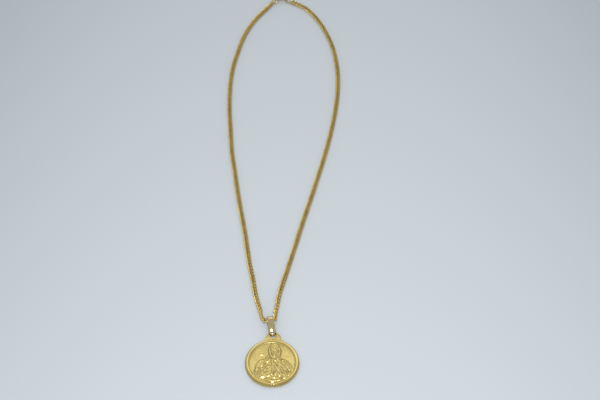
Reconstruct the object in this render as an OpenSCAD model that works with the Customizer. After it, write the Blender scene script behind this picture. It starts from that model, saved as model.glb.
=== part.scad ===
// Medal necklace: a fine curb chain that carries a round cast medal on a ridged bail.
// It lies on a flat surface at z = 0. The medal is at the near end (-Y) and the clasp at the far end (+Y).

/* [Medal] */
// Diameter of the medal over its cut edge
medal_d = 24; // [23:0.5:25]
// Thickness of the medal at its raised border
medal_t = 1.8; // [1.7:0.05:2]
// Depth of the front field below the raised border
field_depth = 0.45; // [0.35:0.05:0.6]
// Number of bright cuts round the edge
edge_cuts = 60; // [48:4:72]
// Depth of each cut in the edge
cut_depth = 0.18; // [0.1:0.02:0.26]

/* [Tab] */
// Width of the tab that stands on the medal
tab_w = 6.8; // [6:0.1:7.2]
// Height of the tab above the medal's edge
tab_h = 3.6; // [3.5:0.05:3.8]
// Diameter of the hole through the tab
tab_hole_d = 2.8; // [2.7:0.05:2.85]

/* [Bail] */
// Width of the bail where the chain passes through
bail_w = 3; // [2.6:0.1:3.1]
// Distance between the centres of the bail's two round ends
bail_span = 6.3; // [6.2:0.1:6.4]
// Diameter of the eye that the chain passes through
eye_d = 3.2; // [3.1:0.05:3.3]

/* [Chain] */
// Width of the curb chain
chain_w = 2.5; // [2.2:0.1:2.5]
// Thickness of the curb chain
chain_t = 1.5; // [1.3:0.1:1.5]

/* [Clasp] */
// Outer diameter of the bolt ring
clasp_d = 7; // [6.9:0.05:7.1]
// Diameter of the bolt ring's tube
clasp_tube_d = 1.2; // [1.1:0.05:1.25]

/* [Hidden] */

gold = [0.78, 0.67, 0.38];
pale_gold = [0.72, 0.64, 0.44];
chain_gold = [0.62, 0.53, 0.3];

// The medal's place and its small turn clockwise
medal_at = [-4, -112];
medal_turn = 1;
medal_r = medal_d / 2;
// Rim: widths of the outer bevel, the flat border and its inner slope
rim_bevel = 0.7;
rim_flat = 0.7;
rim_slope = 0.4;
edge_band = 0.75;
back_depth = 0.3;
// How far the outline of the cuts stands outside the edge, which leaves a land between two cuts
cut_land = 0.12;
border_r = medal_r - rim_bevel;
field_r = border_r - rim_flat - rim_slope;
field_z = medal_t - field_depth;
// The relief's skin is buried in the rim all round, and the disc under it ends a little lower
relief_r = field_r + 0.25;
relief_floor = 0.9;
field_sink = 0.2;
relief_cells = 70;
relief_blend = 5;
relief_round = 0.9;
relief_fade = 0.6;

// Tab: where its plate lies in the medal's thickness, and its bevel
tab_z = 0.6;
tab_t = 0.8;
tab_bevel = 0.15;
// Width and height of each shoulder, and how full it is: 1 is a straight cut and 2 a round one
tab_shoulder = [2.2, 2.4];
tab_fullness = 1.3;
tab_root = 1.2;
hole_up = 1.85;

// Bail: radii over the ridge and at the sides for both round ends, and its lean
eye_wall = 0.6;
bail_side_drop = 0.3;
bail_ridge = 0.37;
foot_r = 1.05;
foot_hole_r = 0.65;
// The strap is widest at its shoulders, and a narrow tongue goes on from there round the foot
shoulder_at = 0.9;
shoulder_w = 3.2;
tongue_w = 1.9;
tongue_root = 2;
// Where the foot's bar lies in the tab's hole: left of its middle and above it
bar_at = [-0.12, 0.13];
bail_lean = 9.5;

// Chain: the tube's sides and the spacing of its rings along the route
chain_sides = 8;
ring_pitch = 6.9;
// How far the chain is turned on edge on its way through the bail: the route's point, and degrees
EDGE_TURNS = [
    [15, 0], [16, 25], [17, 41], [19, 50], [20, 58], [21, 72], [22, 85],
    [23, 90], [26, 90], [28, 76], [29, 66], [30, 60], [31, 30], [31.5, 0]
];

// Clasp: place, tilt, eyelet and thumb nub
clasp_at = [-1.1, 120.5];
clasp_tilt = 12;
clasp_tube_r = clasp_tube_d / 2;
clasp_r = clasp_d / 2 - clasp_tube_r;
eyelet_r = 0.95;
eyelet_wire_r = 0.3;
eyelet_angle = 217;
solder = 0.1;
nub_angle = 128;
nub_r = 0.34;
nub_reach = 0.75;

// Loose rings: centre, the way each faces round Z, its lean from flat, and its radii
jump_at = [-5.73, 117.01];
jump_face = 207;
jump_lean = -56;
jump_r = 1.5;
jump_wire_r = 0.28;
end_at = [2.36, 118.5];
end_face = -40;
end_lean = 36;
end_r = 2.3;
end_wire_r = 0.33;

// The chain's route: x, y, z of points on its centre line, from the jump ring down the left
// strand, through the bail and up the right strand to the end ring
ROUTE = [
    [-7.3, 115.4, 0.95], [-16, 103, 0.78], [-21.15, 92, 0.76], [-24.65, 79, 0.75],
    [-27.2, 65.5, 0.75], [-28, 52, 0.75], [-27.85, 38, 0.75], [-26.8, 24, 0.75],
    [-25.75, 10, 0.75], [-23.75, -4, 0.75], [-21.7, -18, 0.75], [-19.4, -32, 0.75],
    [-17.68, -41.5, 0.75], [-17.1, -46, 0.75], [-15, -60, 0.76], [-13.71, -66, 0.8],
    [-12.6, -73, 0.94], [-11.5, -78.5, 1.1], [-10.08, -83.5, 1.26], [-9.35, -86.6, 1.43],
    [-8.9, -88.4, 1.63], [-8.35, -89.65, 1.86], [-7.55, -90.52, 2.11], [-6.45, -90.8, 2.2],
    [-5.25, -90.6, 2.2], [-4.18, -90.42, 2.2], [-3.44, -90.16, 2.2], [-3, -89.58, 2.13],
    [-2.9, -88.8, 2.01], [-2.86, -87, 1.75], [-2.4, -84, 1.45], [-1, -75, 1],
    [2.4, -62, 0.79], [5.95, -48.5, 0.76], [9.4, -35, 0.75], [12.95, -22, 0.75],
    [16.5, -8.5, 0.75], [19.95, 5, 0.75], [23, 18.5, 0.75], [25.5, 32, 0.75],
    [27.35, 46, 0.75], [28, 60, 0.75], [27.15, 73, 0.75], [24.45, 86.5, 0.76],
    [19.05, 100.5, 0.78], [12, 111.3, 0.8], [4.5, 116.35, 1.05]
];

// The figure is a half-length veiled woman with joined hands, of a plain traditional kind.
// Relief masses, in the medal's own plane with its centre at 0, 0.
// Columns: x, y, half length, half width, turn, bend, height
MASSES = [
    // veil, neck and breast
    [1, 5.4, 4.3, 3, 93, 0, 0.27],
    [0.6, 2.4, 1.6, 1.2, 90, 0, 0.3],
    [0.7, -2.6, 5.2, 3.4, 90, 0, 0.31],
    // shoulders under the mantle, left and right
    [-3.9, -0.8, 4.5, 2.3, 33, -1.1, 0.3],
    [5.3, -1, 4.4, 2.3, -35, -1.1, 0.3],
    // mantle over the arms, left and right
    [-4.6, -4.4, 4.6, 3.3, 60, -0.6, 0.3],
    [5.9, -4.5, 4.5, 3.3, 120, 0.6, 0.3],
    // sleeves, from the elbow to the wrist
    [-2.7, -6.5, 3.3, 1.25, 20, -0.2, 0.4],
    [4.3, -6.5, 3.2, 1.25, 160, 0.2, 0.4],
    // joined hands
    [0.45, -3.9, 2.4, 0.7, 96, 0.1, 0.52],
    [1.2, -3.95, 2.4, 0.68, 87, -0.1, 0.49],
    // crescent at the foot
    [0.4, -9.25, 4.6, 0.62, 0, 1.15, 0.3]
];

// The face has a frame of its own, placed and tilted as one
face_at = [0.7, 5.3];
face_tilt = 6;
FACE_MASSES = [
    // head and chin
    [0, 0, 2.35, 1.62, 90, 0, 0.42],
    [0, -1.75, 0.75, 0.7, 0, 0, 0.38]
];
FACE_FOLDS = [
    // eye sockets, nose and lips
    [-0.68, 0.3, 0.55, 0.34, 0, 0, -0.08],
    [0.68, 0.3, 0.55, 0.34, 0, 0, -0.08],
    [0, -0.15, 0.95, 0.34, 90, 0, 0.12],
    [0, -1.3, 0.55, 0.34, 0, 0, 0.07],
    // hair, parted in the middle
    [-0.85, 1.6, 1.15, 0.4, 38, -0.25, 0.12],
    [0.85, 1.6, 1.15, 0.4, -38, -0.25, 0.12]
];

// Rays start and end at these distances from the middle of the head, and turn by these angles
rays_at = [1, 5.4];
ray_from = 4.1;
ray_to = 7.2;
ray_half_w = 0.31;
ray_h = 0.09;
RAY_TURNS = [-18, -6, 6, 18, 30, 150, 162, 174, 186, 198];

// Folds, added on top of the masses or, where the height is negative, cut into them. Columns as above
FOLDS = [
    // hem of the veil, from the crown down each side
    [-1.35, 5.2, 3, 0.45, 100, -0.75, 0.13],
    [3.1, 4.9, 3.2, 0.45, 84, 0.8, 0.13],
    [-0.2, 8.6, 1.5, 0.42, 40, -0.3, 0.12],
    [2.1, 8.6, 1.5, 0.42, -38, -0.3, 0.12],
    // veil gathered on the shoulders
    [-2.2, 1.9, 2.2, 0.48, 60, 0.3, 0.12],
    [4, 1.7, 2.2, 0.48, 118, -0.3, 0.12],
    // edge of the mantle over the shoulders, and its folds fanning down
    [-4.7, 0.6, 4.2, 0.5, 36, -1.1, 0.12],
    [-4.3, -1.3, 4.2, 0.5, 43, -0.95, 0.13],
    [-3.6, -2.7, 4, 0.5, 50, -0.7, 0.13],
    [-2.5, -3.2, 3.1, 0.48, 57, -0.4, 0.12],
    [-7, -4.4, 2.6, 0.5, 80, -0.3, 0.12],
    [-5.6, -5.3, 2, 0.48, 64, -0.2, 0.12],
    [6.1, 0.4, 4.1, 0.5, -38, -1.1, 0.12],
    [5.8, -1.4, 4.1, 0.5, -44, -0.95, 0.13],
    [5.1, -2.8, 3.9, 0.5, -51, -0.7, 0.13],
    [4, -3.2, 3, 0.48, -58, -0.4, 0.12],
    [8, -4.5, 2.4, 0.5, 100, 0.3, 0.12],
    [7, -5.4, 1.9, 0.48, 116, 0.2, 0.12],
    // neckline and folds of the dress
    [0.65, 1, 1.9, 0.4, 0, 0.7, 0.1],
    [-0.9, -0.8, 2.2, 0.42, 68, -0.3, 0.11],
    [0.15, -0.5, 1.7, 0.4, 82, -0.1, 0.1],
    [1.3, -0.5, 1.7, 0.4, 98, 0.1, 0.1],
    [2.3, -0.8, 2.2, 0.42, 112, 0.3, 0.11],
    // cuffs round the wrists, and folds of the sleeves
    [-0.15, -5.7, 1.15, 0.48, 118, -0.25, 0.14],
    [1.85, -5.75, 1.15, 0.48, 62, 0.25, 0.14],
    [-3.3, -7, 2.3, 0.45, 22, -0.3, 0.11],
    [-2.9, -5.9, 1.9, 0.42, 26, 0.2, 0.1],
    [4.9, -7, 2.2, 0.45, 158, 0.3, 0.11],
    [4.5, -5.9, 1.9, 0.42, 154, -0.2, 0.1],
    // hem of the dress above the crescent
    [0.8, -7.6, 2.4, 0.42, 0, 0.3, 0.1],
    // groove between the hands
    [0.85, -3.9, 2.1, 0.2, 92, 0, -0.12]
];

function on_face(f) = [
    face_at[0] + f[0] * cos(face_tilt) - f[1] * sin(face_tilt),
    face_at[1] + f[0] * sin(face_tilt) + f[1] * cos(face_tilt),
    f[2], f[3], f[4] + face_tilt, f[5], f[6]
];
function ray(turn) = let (middle = (ray_from + ray_to) / 2)
    [rays_at[0] + middle * cos(turn), rays_at[1] + middle * sin(turn),
    (ray_to - ray_from) / 2, ray_half_w, turn, 0, ray_h];
ALL_MASSES = concat(MASSES, [for (f = FACE_MASSES) on_face(f)]);
ALL_FOLDS = concat(FOLDS, [for (f = FACE_FOLDS) on_face(f)], [for (turn = RAY_TURNS) ray(turn)]);

// One rounded form of the relief: a bent ellipse whose height falls to nothing at its edge
function form(x, y, f) = let (
    dx = x - f[0],
    dy = y - f[1],
    u = (dx * cos(f[4]) + dy * sin(f[4])) / f[2],
    v = (dy * cos(f[4]) - dx * sin(f[4]) - f[5] * u * u) / f[3],
    t = 1 - u * u - v * v
) t > 0 ? pow(t, relief_round) : 0;

function sum(list) = list * [for (i = list) 1];
function masses_at(x, y) =
    pow(sum([for (f = ALL_MASSES) pow(f[6] * form(x, y, f), relief_blend)]), 1 / relief_blend);
function folds_at(x, y) = sum([for (f = ALL_FOLDS) f[6] * form(x, y, f)]);
function fade_at(x, y) = min(1, max(0, (field_r - norm([x, y])) / relief_fade));
function relief_z(x, y) = field_z + fade_at(x, y) * (masses_at(x, y) + folds_at(x, y));

// A square grid laid over the round field, so that its cells stay nearly even
function on_disc(u, v) = relief_r * [u * sqrt(1 - v * v / 2), v * sqrt(1 - u * u / 2)];

module relief() {
    n = relief_cells;
    side = n + 1;
    step = 2 / n;
    top = [for (j = [0:n], i = [0:n]) let (p = on_disc(i * step - 1, j * step - 1))
        [p[0], p[1], relief_z(p[0], p[1])]];
    loop = concat(
        [for (i = [0:n - 1]) i],
        [for (j = [0:n - 1]) j * side + n],
        [for (i = [0:n - 1]) n * side + n - i],
        [for (j = [0:n - 1]) (n - j) * side]
    );
    base = side * side;
    count = len(loop);
    points = concat(top, [for (k = loop) [top[k][0], top[k][1], relief_floor]]);
    faces = concat(
        [for (j = [0:n - 1], i = [0:n - 1]) let (a = j * side + i) [a, a + side, a + 1]],
        [for (j = [0:n - 1], i = [0:n - 1]) let (a = j * side + i) [a + 1, a + side, a + side + 1]],
        [for (k = [0:count - 1]) let (m = (k + 1) % count) [loop[k], loop[m], base + k]],
        [for (k = [0:count - 1]) let (m = (k + 1) % count) [loop[m], base + m, base + k]],
        [[for (k = [0:count - 1]) base + k]]
    );
    polyhedron(points, faces);
}

// The disc: recessed on both sides, its rim bevelled, and its edge cut bright all round
module disc() {
    cuts = [for (k = [0:2 * edge_cuts - 1]) let (
        a = 180 * k / edge_cuts,
        r = k % 2 == 0 ? medal_r + cut_land : medal_r - cut_depth
    ) [r * cos(a), r * sin(a)]];
    band_z = (medal_t - edge_band) / 2;
    sunk_r = field_r - rim_slope * field_sink / field_depth;
    intersection() {
        linear_extrude(medal_t) polygon(cuts);
        rotate_extrude($fn = 96) polygon([
            [0, back_depth], [field_r, back_depth], [field_r + rim_slope, 0], [border_r, 0],
            [medal_r, band_z], [medal_r, band_z + edge_band], [border_r, medal_t],
            [border_r - rim_flat, medal_t], [sunk_r, field_z - field_sink], [0, field_z - field_sink]
        ]);
    }
}

function shoulder_point(w, top, turn) = [
    w - tab_shoulder[0] * (1 - pow(cos(turn), 2 / tab_fullness)),
    top - tab_shoulder[1] * (1 - pow(sin(turn), 2 / tab_fullness))
];
function tab_outline(inset) = let (
    w = tab_w / 2 - inset,
    top = medal_r + tab_h - inset,
    low = medal_r - tab_root,
    right = [for (turn = [0:22.5:90]) shoulder_point(w, top, turn)]
) concat([[-w, low], [w, low]], right, [for (k = [len(right) - 1:-1:0]) [-right[k][0], right[k][1]]]);

module tab() {
    hull() {
        translate([0, 0, tab_z]) linear_extrude(tab_t) polygon(tab_outline(tab_bevel));
        translate([0, 0, tab_z + tab_bevel]) linear_extrude(tab_t - 2 * tab_bevel) polygon(tab_outline(0));
    }
}

module medal() {
    color(gold) translate([medal_at[0], medal_at[1], 0]) rotate([0, 0, -medal_turn]) difference() {
        union() {
            disc();
            relief();
            tab();
        }
        translate([0, medal_r + hole_up, 0]) cylinder(h = medal_t, d = tab_hole_d, $fn = 48);
    }
}

// A round slice of the bail some way up from its foot, ridged where the strap is seen from outside
module bail_bend(up, w) {
    r = foot_r + (eye_d / 2 + eye_wall - foot_r) * up / bail_span;
    translate([0, up, r]) rotate([0, 90, 0]) rotate_extrude($fn = 32) polygon([
        [0, -w / 2], [r - bail_side_drop * r / 2, -w / 2], [r, -w * bail_ridge / 2], [r, w * bail_ridge / 2],
        [r - bail_side_drop * r / 2, w / 2], [0, w / 2]
    ]);
}

// A round bore right across the bail, some way up from its foot
module bail_bore(up, z, r) {
    translate([-bail_w, up, z]) rotate([0, 90, 0]) cylinder(h = 2 * bail_w, r = r, $fn = 32);
}

module bail() {
    hole_x = medal_at[0] + (medal_r + hole_up) * sin(medal_turn);
    hole_y = medal_at[1] + (medal_r + hole_up) * cos(medal_turn);
    // From the middle of the foot's bar to the middle of its bend
    bar = (foot_r + foot_hole_r) / 2;
    color(pale_gold) translate([hole_x + bar_at[0], hole_y, 0]) rotate([0, 0, bail_lean])
    translate([0, bar + bar_at[1], 0]) difference() {
        union() {
            hull() {
                bail_bend(bail_span, bail_w);
                bail_bend(shoulder_at, shoulder_w);
            }
            hull() {
                bail_bend(tongue_root, tongue_w);
                bail_bend(0, tongue_w);
            }
        }
        hull() {
            bail_bore(bail_span, eye_d / 2 + eye_wall, eye_d / 2);
            bail_bore(0, foot_r, foot_hole_r);
        }
    }
}

// Smooth route: a cubic through every point, its slopes taken over the neighbours' distances
function span(i) = norm(ROUTE[i + 1] - ROUTE[i]);
function slope(i) = let (last = len(ROUTE) - 1)
    i == 0 ? (ROUTE[1] - ROUTE[0]) / span(0) :
    i == last ? (ROUTE[last] - ROUTE[last - 1]) / span(last - 1) :
    (ROUTE[i + 1] - ROUTE[i - 1]) / (span(i - 1) + span(i));
function on_span(i, t) = let (h = span(i), t2 = t * t, t3 = t2 * t)
    (2 * t3 - 3 * t2 + 1) * ROUTE[i] + (t3 - 2 * t2 + t) * h * slope(i)
    + (3 * t2 - 2 * t3) * ROUTE[i + 1] + (t3 - t2) * h * slope(i + 1);
function along(s) = let (i = min(floor(s), len(ROUTE) - 2)) on_span(i, s - i);
function unit(v) = v / norm(v);

// A closed tube swept along a list of points, with an elliptical section that is level but for its turns
module flat_tube(path, turns, w, t, sides) {
    n = len(path);
    grow = 1 / cos(180 / sides);
    dirs = [for (i = [0:n - 1]) unit(path[min(i + 1, n - 1)] - path[max(i - 1, 0)])];
    points = [for (i = [0:n - 1], k = [0:sides - 1]) let (
        across = unit(cross([0, 0, 1], dirs[i])),
        up = cross(dirs[i], across),
        wide = across * cos(turns[i]) + up * sin(turns[i]),
        flat = up * cos(turns[i]) - across * sin(turns[i]),
        a = 360 * (k + 0.5) / sides
    ) path[i] + wide * (w / 2 * grow * cos(a)) + flat * (t / 2 * grow * sin(a))];
    walls = [for (i = [0:n - 2], k = [0:sides - 1]) let (a = i * sides + k, b = i * sides + (k + 1) % sides)
        [a, a + sides, b + sides, b]];
    split = [for (q = walls, half = [0, 1]) half == 0 ? [q[0], q[1], q[2]] : [q[0], q[2], q[3]]];
    near_end = [for (k = [0:sides - 1]) k];
    far_end = [for (k = [0:sides - 1]) n * sides - 1 - k];
    polyhedron(points, concat(split, [near_end, far_end]));
}

module chain() {
    last = len(ROUTE) - 1;
    places = concat(
        [for (i = [0:last - 1]) let (m = max(1, round(span(i) / ring_pitch))) for (k = [0:m - 1]) i + k / m],
        [last]
    );
    path = [for (s = places) along(s)];
    turns = [for (s = places) lookup(s, EDGE_TURNS)];
    color(chain_gold) flat_tube(path, turns, chain_w, chain_t, chain_sides);
}

module wire_ring(r, wire_r) {
    rotate_extrude($fn = 72) translate([r, 0]) circle(r = wire_r, $fn = 24);
}

module clasp() {
    eyelet_out = clasp_r + clasp_tube_r + eyelet_r - solder;
    color(pale_gold) translate([clasp_at[0], clasp_at[1], clasp_r * sin(clasp_tilt) + clasp_tube_r])
        rotate([-clasp_tilt, 0, 0]) {
            wire_ring(clasp_r, clasp_tube_r);
            rotate([0, 0, eyelet_angle]) translate([eyelet_out, 0, 0]) wire_ring(eyelet_r, eyelet_wire_r);
            rotate([0, 0, nub_angle]) translate([clasp_r, 0, 0]) rotate([0, 90, 0])
                cylinder(h = clasp_tube_r + nub_reach - nub_r, r = nub_r, $fn = 24);
            rotate([0, 0, nub_angle]) translate([clasp_r + clasp_tube_r + nub_reach - nub_r, 0, 0])
                sphere(r = nub_r, $fn = 24);
        }
}

// A loose ring: where its centre is, which way it faces round Z, and how far it leans from flat
module loose_ring(at, face, lean, r, wire_r) {
    translate([at[0], at[1], r * sin(abs(lean)) + wire_r]) rotate([0, 0, face]) rotate([lean, 0, 0])
        wire_ring(r, wire_r);
}

module jump_ring() {
    color(pale_gold) loose_ring(jump_at, jump_face, jump_lean, jump_r, jump_wire_r);
}

module end_ring() {
    color(pale_gold) loose_ring(end_at, end_face, end_lean, end_r, end_wire_r);
}

medal();
bail();
chain();
clasp();
jump_ring();
end_ring();
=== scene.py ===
import logging
import math
from collections.abc import Iterator, Sequence
from contextlib import contextmanager
from dataclasses import dataclass
from enum import Enum
from functools import cache

import bpy
import numpy as np
from mathutils import Matrix, Vector


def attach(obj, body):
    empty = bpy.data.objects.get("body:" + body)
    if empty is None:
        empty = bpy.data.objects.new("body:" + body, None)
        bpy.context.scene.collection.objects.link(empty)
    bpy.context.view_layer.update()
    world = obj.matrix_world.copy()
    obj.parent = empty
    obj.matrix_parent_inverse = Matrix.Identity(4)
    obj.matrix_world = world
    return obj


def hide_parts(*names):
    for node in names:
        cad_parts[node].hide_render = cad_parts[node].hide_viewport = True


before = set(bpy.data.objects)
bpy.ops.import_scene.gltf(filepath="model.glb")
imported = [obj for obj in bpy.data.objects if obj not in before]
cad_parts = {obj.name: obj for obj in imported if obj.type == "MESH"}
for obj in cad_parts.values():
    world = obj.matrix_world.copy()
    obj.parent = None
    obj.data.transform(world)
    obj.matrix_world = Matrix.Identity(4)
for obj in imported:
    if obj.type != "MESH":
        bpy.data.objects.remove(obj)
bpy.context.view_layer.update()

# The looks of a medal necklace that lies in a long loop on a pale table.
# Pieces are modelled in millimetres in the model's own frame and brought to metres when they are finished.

MM = 0.001
NEAR = 0.01         # two places this near each other are one place, in millimetres
END_LENGTH = 0.12   # of the rounding at a wire's end, in wire radii
END_RADIUS = 0.86   # of a wire's last section, in wire radii
Pair = tuple[float, float]
Colour = tuple[float, float, float]
Point = tuple[float, float, float]
Form = tuple[float, float, float, float, float, float, float]
Piece = bpy.types.Object
log = logging.getLogger("necklace")


class Bench:
    """The workbench: each tool drives Blender's own operators on the piece in hand."""

    @staticmethod
    def clear() -> None:
        """Leaves edit mode and selects nothing."""
        if bpy.context.object is not None and bpy.context.object.mode != "OBJECT":
            bpy.ops.object.mode_set(mode="OBJECT")
        bpy.ops.object.select_all(action="DESELECT")

    @staticmethod
    def take(*pieces: Piece) -> None:
        """Selects the pieces alone, the first of them active.

        Args:
            pieces: The pieces to work on.
        """
        Bench.clear()
        for piece in pieces:
            piece.select_set(True)
        bpy.context.view_layer.objects.active = pieces[0]

    @staticmethod
    @contextmanager
    def editing(piece: Piece, kind: str = "VERT") -> Iterator[None]:
        """Opens a piece in edit mode and closes it again.

        Args:
            piece: The piece to edit.
            kind: What is selected there: VERT, EDGE or FACE.
        """
        Bench.take(piece)
        bpy.ops.object.mode_set(mode="EDIT")
        bpy.ops.mesh.select_mode(type=kind)
        yield
        bpy.ops.object.mode_set(mode="OBJECT")

    @staticmethod
    def spots(piece: Piece) -> np.ndarray:
        """Returns the places of a piece's vertices, one row each."""
        flat = np.empty(len(piece.data.vertices) * 3)
        piece.data.vertices.foreach_get("co", flat)
        return flat.reshape(-1, 3)

    @staticmethod
    def move(piece: Piece, spots: np.ndarray) -> None:
        """Puts every vertex of a piece at a new place, one row for each."""
        piece.data.vertices.foreach_set("co", np.asarray(spots, float).ravel())
        piece.data.update()

    @staticmethod
    def pick(piece: Piece, chosen: np.ndarray) -> None:
        """Selects vertices in object mode, so that edit mode opens with them.

        Args:
            piece: The piece.
            chosen: One truth value for each vertex.
        """
        mesh = piece.data
        mesh.polygons.foreach_set("select", np.zeros(len(mesh.polygons), bool))
        mesh.edges.foreach_set("select", np.zeros(len(mesh.edges), bool))
        mesh.vertices.foreach_set("select", np.asarray(chosen, bool))

    @staticmethod
    def loft(name: str, stations: np.ndarray) -> Piece:
        """Extrudes a ring of edges from station to station and gives each ring its place.

        Where the last station repeats the first, the loft closes on itself. Otherwise its ends are filled.

        Args:
            name: The piece's name.
            stations: Stations by ring points by three, in millimetres.

        Returns:
            The lofted piece, its faces pointing outwards.
        """
        count, sides = stations.shape[:2]
        Bench.clear()
        bpy.ops.mesh.primitive_circle_add(vertices=sides, radius=1, fill_type="NOTHING")
        piece = bpy.context.object
        piece.name = name
        with Bench.editing(piece, "EDGE"):
            bpy.ops.mesh.select_all(action="SELECT")
            for _ in range(count - 1):
                bpy.ops.mesh.extrude_edges_move(TRANSFORM_OT_translate={"value": (0, 0, 1)})
        raw = Bench.spots(piece)
        ring = np.rint(raw[:, 2]).astype(int)
        step = np.rint(np.arctan2(raw[:, 1], raw[:, 0]) * sides / math.tau).astype(int) % sides
        Bench.move(piece, stations[ring, step])
        if not np.allclose(stations[0], stations[-1]):
            for end in (0, count - 1):
                Bench.pick(piece, ring == end)
                with Bench.editing(piece):
                    bpy.ops.mesh.edge_face_add()
        Bench.close(piece)
        return piece

    @staticmethod
    def close(piece: Piece) -> None:
        """Merges vertices that lie together and turns every face outwards.

        Args:
            piece: The piece to close.
        """
        with Bench.editing(piece):
            bpy.ops.mesh.select_all(action="SELECT")
            bpy.ops.mesh.remove_doubles(threshold=0.002)
            bpy.ops.mesh.normals_make_consistent(inside=False)

    @staticmethod
    def modify(piece: Piece, kind: str, **settings: object) -> None:
        """Adds a modifier and applies it.

        Args:
            piece: The piece.
            kind: The modifier's type.
            settings: The modifier's own settings.
        """
        Bench.take(piece)
        modifier = piece.modifiers.new(kind.lower(), kind)
        for key, value in settings.items():
            setattr(modifier, key, value)
        bpy.ops.object.modifier_apply(modifier=modifier.name)

    @staticmethod
    def combine(piece: Piece, tool: Piece, operation: str) -> None:
        """Unites a piece with another solid (UNION) or cuts it (DIFFERENCE), and uses the other up."""
        Bench.modify(piece, "BOOLEAN", object=tool, operation=operation, solver="EXACT")
        bpy.data.objects.remove(tool)

    @staticmethod
    def join(name: str, pieces: Sequence[Piece]) -> Piece:
        """Joins pieces into one object.

        Args:
            name: The name of the result.
            pieces: The pieces, the first of which stays.

        Returns:
            The joined piece.
        """
        Bench.take(*pieces)
        bpy.ops.object.join()
        pieces[0].name = name
        return pieces[0]

    @staticmethod
    def smooth(piece: Piece, angle: float) -> None:
        """Shades a piece smooth, with sharp edges where it turns by more than an angle in degrees."""
        Bench.take(piece)
        bpy.ops.object.shade_smooth_by_angle(angle=math.radians(angle))

    @staticmethod
    def set_down(piece: Piece, place: Matrix) -> None:
        """Moves a piece's mesh to where its own frame goes, in millimetres."""
        piece.data.transform(place @ piece.matrix_world)
        piece.matrix_world = Matrix.Identity(4)

    @staticmethod
    def deliver(piece: Piece, place: Matrix, finish: "Gold", node: str, slot: str) -> None:
        """Sets a finished piece down, brings it to metres, dresses it and puts it in a CAD node's stead.

        Args:
            piece: The finished piece, modelled in millimetres.
            place: Where its local frame goes in the model's frame.
            finish: What it is made of.
            node: The CAD node that it stands for.
            slot: The record's material slot; not used.
        """
        Bench.set_down(piece, place)
        piece.data.transform(Matrix.Scale(MM, 4))
        piece.data.materials.clear()
        piece.data.materials.append(finish.material())
        piece.data.name = piece.name
        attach(piece, "root")
        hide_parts(node)
        log.info("%s: %d vertices for node %s", piece.name, len(piece.data.vertices), node)


def turned(angle: float, axis: str) -> Matrix:
    """Returns a rotation by an angle in degrees about X, Y or Z."""
    return Matrix.Rotation(math.radians(angle), 4, axis)


def placed(x: float, y: float, z: float = 0.0) -> Matrix:
    """Returns a move in millimetres."""
    return Matrix.Translation((x, y, z))


def round_ring(sides: int) -> np.ndarray:
    """Returns a unit circle's points, one row of two for each side."""
    angle = np.arange(sides) * math.tau / sides
    return np.column_stack([np.cos(angle), np.sin(angle)])


def arc_tube(
    name: str, radius: float, wire: float, start: float, end: float, sides: int, pitch: float = 4.0
) -> Piece:
    """Lofts a bent wire in the XY plane round the origin, with softened ends.

    Args:
        name: The piece's name.
        radius: Radius of the wire's centre line.
        wire: The wire's own radius.
        start: Where the wire starts, in degrees.
        end: Where it ends, in degrees; a full turn on from start closes it.
        sides: Points round the wire.
        pitch: Degrees from one ring to the next.

    Returns:
        The lofted wire.
    """
    steps = max(3, round((end - start) / pitch))
    angles = np.radians(np.linspace(start, end, steps + 1))
    thickness = np.full(steps + 1, wire)
    if end - start < 360:
        soft = wire * END_LENGTH / radius
        first, last = angles[:1], angles[-1:]
        angles = np.concatenate([first, first + soft, angles[1:-1], last - soft, last])
        thickness = np.concatenate([[wire * END_RADIUS], thickness, [wire * END_RADIUS]])
    circle = round_ring(sides)
    out = radius + thickness[:, None] * circle[None, :, 0]
    up = thickness[:, None] * circle[None, :, 1]
    stations = np.stack([out * np.cos(angles)[:, None], out * np.sin(angles)[:, None], up], axis=2)
    return Bench.loft(name, stations)


class Signal:
    """A shader socket that takes part in Python expressions: each operator adds its Math node."""

    def __init__(self, recipe: "Recipe", socket: bpy.types.NodeSocket) -> None:
        """Keeps the socket and the recipe that it belongs to."""
        self.recipe = recipe
        self.socket = socket

    def _with(self, operation: str, left: object, right: object, clamp: bool = False) -> "Signal":
        """Adds a Math node with two values, and returns its result, kept from 0 to 1 where it is clamped."""
        settings = {"operation": operation, "use_clamp": clamp}
        return self.recipe.node("ShaderNodeMath", settings, {0: left, 1: right})

    def __add__(self, other: object) -> "Signal":
        """Adds."""
        return self._with("ADD", self, other)

    __radd__ = __add__

    def __sub__(self, other: object) -> "Signal":
        """Subtracts."""
        return self._with("SUBTRACT", self, other)

    def __rsub__(self, other: object) -> "Signal":
        """Subtracts this from another value."""
        return self._with("SUBTRACT", other, self)

    def __mul__(self, other: object) -> "Signal":
        """Multiplies."""
        return self._with("MULTIPLY", self, other)

    __rmul__ = __mul__

    def clamped(self) -> "Signal":
        """Keeps the value from 0 to 1."""
        return self._with("ADD", self, 0.0, clamp=True)

    def capped(self, limit: float) -> "Signal":
        """Keeps the value from rising over a limit."""
        return self._with("MINIMUM", self, limit)


@dataclass(frozen=True)
class Pattern:
    """A noise pattern: its fineness, its octaves and their weight, and how it is drawn out and turned."""

    scale: float
    detail: float
    weight: float = 0.5
    stretch: Point = (1, 1, 1)
    turn: float = 0.0


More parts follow.
